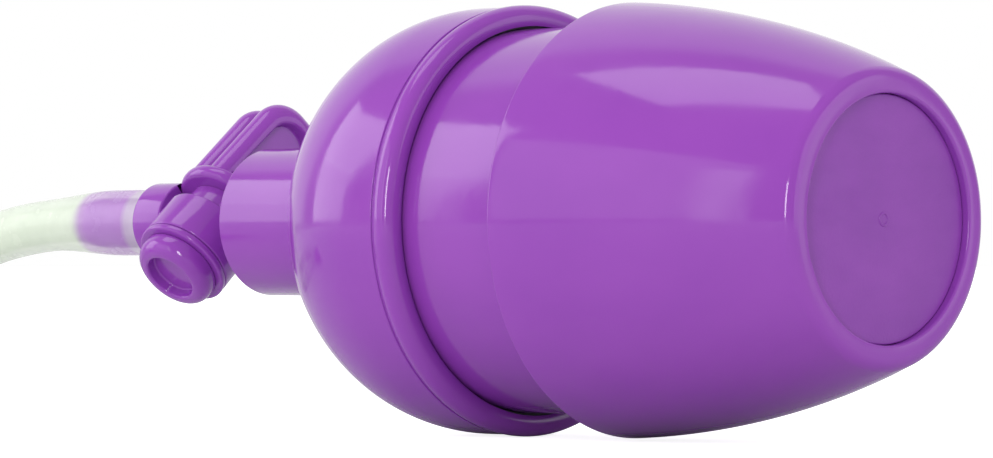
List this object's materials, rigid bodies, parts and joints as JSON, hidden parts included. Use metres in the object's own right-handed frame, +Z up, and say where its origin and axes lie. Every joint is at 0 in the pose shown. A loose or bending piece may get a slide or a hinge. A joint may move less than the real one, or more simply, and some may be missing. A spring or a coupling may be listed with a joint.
{
  "type": "hand suction pump",
  "caption": "One-hand suction pump lying on its side, with a tapered grip that slides into a round bell, a turn-key release valve and a short clear hose.",
  "frame": {"origin": "on the surface the pump lies on, under the middle of the pump without its hose", "axes": "+X along the pump from the hose end to the closed end of the grip, +Z up, +Y away from the near end of the cross valve"},
  "size_m": [0.2477, 0.0879, 0.054],
  "materials": {
    "purple_gloss": "glossy moulded",
    "purple_satin": "satin",
    "steel": "drawn wire and turned",
    "white_plastic": "satin",
    "black_rubber": "matt",
    "hose_clear": "milky translucent",
    "strap": "matt"
  },
  "bodies": {
    "bell": {"bell_housing": "purple_gloss", "wiper_ring": "black_rubber", "pump_barrel": "white_plastic", "barrel_cap": "white_plastic", "spring_washer": "steel", "return_spring": "steel", "head_gasket": "black_rubber", "head_plate": "white_plastic", "head_screws": "steel", "intake_tube": "hose_clear", "lock_nut": "steel", "neck_seal": "black_rubber", "valve_body": "purple_gloss", "hose_cuff": "hose_clear", "hose_tube": "hose_clear", "hose_coil": "hose_clear", "hose_tail": "hose_clear", "hose_tie": "strap", "hose_connector": "purple_gloss"},
    "grip": {"grip_cup": "purple_gloss", "end_disc": "purple_satin", "rod_screw": "steel", "sleeve": "purple_gloss", "piston_rod": "white_plastic", "piston_head": "white_plastic", "piston_seal": "black_rubber", "piston_screw": "steel"},
    "key": {"valve_plug": "white_plastic", "plug_seals": "black_rubber", "stem_washer": "purple_gloss", "stem_cap": "purple_gloss", "release_key": "purple_gloss"},
    "intake_valve": {"intake_flap": "black_rubber"},
    "exhaust_valve": {"exhaust_flap": "black_rubber"}
  },
  "joints": [
    {"name": "grip_slide", "type": "slide", "parent": "bell", "child": "grip", "axis": [-1, 0, 0], "range_m": [0, 0.012], "stiffness_N_per_m": 500, "springref_m": -0.008, "deforming": ["return_spring"]},
    {"name": "key_turn", "type": "hinge", "parent": "bell", "child": "key", "pos_m": [-0.04445, 0, 0.027], "axis": [0, -0.7431, -0.6691], "range_deg": [-12, 78]},
    {"name": "intake_lift", "type": "slide", "parent": "bell", "child": "intake_valve", "axis": [1, 0, 0], "range_m": [0, 0.0006], "stiffness_N_per_m": 20},
    {"name": "exhaust_lift", "type": "slide", "parent": "bell", "child": "exhaust_valve", "axis": [-1, 0, 0], "range_m": [0, 0.0006], "stiffness_N_per_m": 20}
  ]
}
